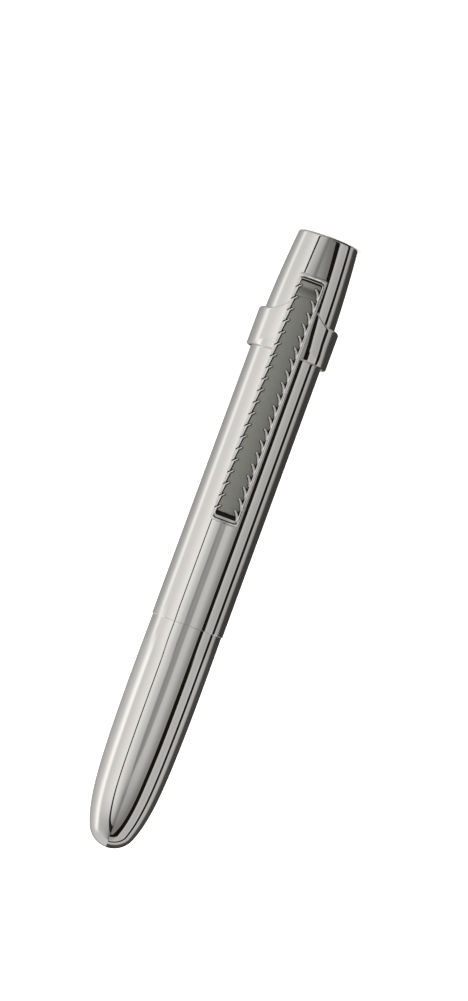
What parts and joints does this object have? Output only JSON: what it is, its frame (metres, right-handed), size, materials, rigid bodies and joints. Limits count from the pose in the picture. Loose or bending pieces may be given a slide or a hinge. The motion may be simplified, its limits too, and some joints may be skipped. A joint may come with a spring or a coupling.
{
  "type": "capped ballpoint pen",
  "caption": "Short chrome pocket pen: bullet-ended barrel, long flat-ended cap and a slip-on spring clip with a barbed rim round a grey inlay.",
  "frame": {"origin": "centre of the cap's flat closed end, which the pen stands on", "axes": "+Z along the pen's axis from the flat end to the bullet end; -Y is the side that carries the clip; +X is to the clip's right"},
  "size_m": [0.013, 0.0138, 0.1],
  "materials": {
    "cap_chrome": "polished chrome plate on turned brass",
    "bush_polymer": "black acetal, matte",
    "band_chrome": "polished chrome plate on spring steel",
    "blade_chrome": "polished chrome plate on a stamped and cast relief",
    "inlay_grey": "fine blasted grey, matte",
    "barrel_chrome": "polished chrome plate on turned brass",
    "insert_brass": "turned brass, plain",
    "section_chrome": "chrome plate on turned brass",
    "seal_rubber": "black nitrile rubber",
    "tube_steel": "drawn metal tube, dull",
    "socket_brass": "turned nickel-brass point",
    "ball_carbide": "ground tungsten carbide",
    "float_polymer": "translucent cream polymer",
    "plug_polymer": "black polymer",
    "spring_steel": "drawn spring wire"
  },
  "bodies": {
    "cap": {"cap_shell": "cap_chrome", "cap_bush": "bush_polymer"},
    "clip_band": {"clip_band": "band_chrome"},
    "clip_blade": {"clip_blade": "blade_chrome", "clip_inlay": "inlay_grey"},
    "writing_unit": {"section_sleeve": "section_chrome", "seal_ring": "seal_rubber", "refill_tube": "tube_steel", "refill_socket": "socket_brass", "refill_plug": "plug_polymer"},
    "refill_float": {"refill_float": "float_polymer"},
    "refill_ball": {"refill_ball": "ball_carbide"},
    "barrel_carrier": {"refill_spring": "spring_steel"},
    "barrel": {"barrel_shell": "barrel_chrome", "thread_insert": "insert_brass"}
  },
  "joints": [
    {"name": "cap_pull", "type": "slide", "parent": "cap", "child": "writing_unit", "axis": [0, 0, 1], "range_m": [0, 0.06]},
    {"name": "clip_turn", "type": "hinge", "parent": "cap", "child": "clip_band", "pos_m": [0, 0, 0.0163], "axis": [0, 0, 1], "range_deg": [-180, 180]},
    {"name": "clip_flex", "type": "hinge", "parent": "clip_band", "child": "clip_blade", "pos_m": [0, -0.00656, 0.0132], "axis": [1, 0, 0], "range_deg": [0, 5.5], "stiffness_Nm_per_rad": 0.05, "springref_deg": -2.86},
    {"name": "barrel_turn", "type": "hinge", "parent": "barrel_carrier", "child": "barrel", "pos_m": [0, 0, 0.07], "axis": [0, 0, 1], "range_deg": [0, 4320]},
    {"name": "barrel_advance", "type": "slide", "parent": "writing_unit", "child": "barrel_carrier", "axis": [0, 0, 1], "range_m": [0, 0.00901]},
    {"name": "float_travel", "type": "slide", "parent": "writing_unit", "child": "refill_float", "axis": [0, 0, -1], "range_m": [0, 0.044]},
    {"name": "ball_roll", "type": "hinge", "parent": "writing_unit", "child": "refill_ball", "pos_m": [0, 0, 0.0045], "axis": [1, 0, 0], "continuous": true}
  ],
  "couplings": [
    {"joint": "barrel_advance", "follows": "barrel_turn", "m_per_rad": 0.00011937}
  ]
}
